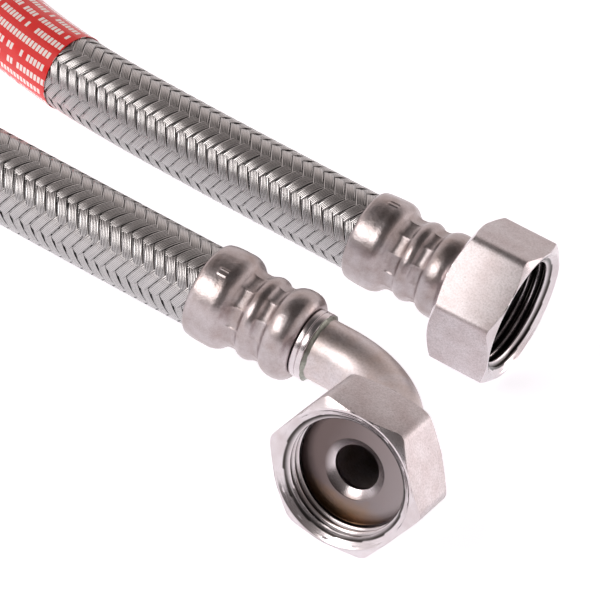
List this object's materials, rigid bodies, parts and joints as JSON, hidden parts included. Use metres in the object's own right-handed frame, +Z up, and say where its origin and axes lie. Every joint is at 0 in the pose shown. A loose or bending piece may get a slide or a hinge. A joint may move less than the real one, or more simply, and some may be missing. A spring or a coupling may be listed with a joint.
{
  "type": "braided supply line",
  "caption": "Steel-braided rubber supply hose with a straight swivel nut on one end and a swivel nut on a right-angle elbow on the other.",
  "frame": {"origin": "on the straight nut's axis, where its thread starts, just inside its mouth", "axes": "+X out of the straight nut's mouth, -Y out of the elbow nut's mouth, +Z up from the floor that the hose lies on"},
  "size_m": [0.3958, 0.218, 0.0318],
  "materials": {
    "liner_rubber": "black moulded rubber, matt",
    "braid_steel": "woven drawn stainless wire, bright",
    "label_film": "red printed film, glossy",
    "ferrule_steel": "crimped stainless sleeve, satin",
    "plated_brass": "nickel-plated turned brass, satin",
    "nut_brass": "nickel-plated brass, machined flats, satin",
    "plated_tube": "nickel-plated drawn tube, satin",
    "braze": "plated braze, rough",
    "gasket_rubber": "bluish black moulded rubber"
  },
  "bodies": {
    "hose_line": {"inner_hose": "liner_rubber", "wire_braid": "braid_steel", "label_wrap": "label_film", "straight_ferrule": "ferrule_steel", "straight_hose_tail": "plated_brass", "elbow_ferrule": "ferrule_steel", "elbow_hose_tail": "plated_brass", "elbow_tube": "plated_tube", "collar_braze_ring": "braze", "seat_braze_ring": "braze", "elbow_seat_flange": "plated_brass"},
    "straight_swivel": {"straight_nut": "nut_brass"},
    "elbow_swivel": {"elbow_nut": "nut_brass"},
    "gasket": {"straight_gasket": "gasket_rubber"}
  },
  "joints": [
    {"name": "straight_nut_swivel", "type": "hinge", "parent": "hose_line", "child": "straight_swivel", "pos_m": [0, 0, 0], "axis": [1, 0, 0], "continuous": true},
    {"name": "elbow_nut_swivel", "type": "hinge", "parent": "hose_line", "child": "elbow_swivel", "pos_m": [0.00286, -0.0824, -0.00092], "axis": [0, -1, 0], "continuous": true},
    {"name": "gasket_lift_out", "type": "slide", "parent": "hose_line", "child": "gasket", "axis": [1, 0, 0], "range_m": [0, 0.012]}
  ]
}
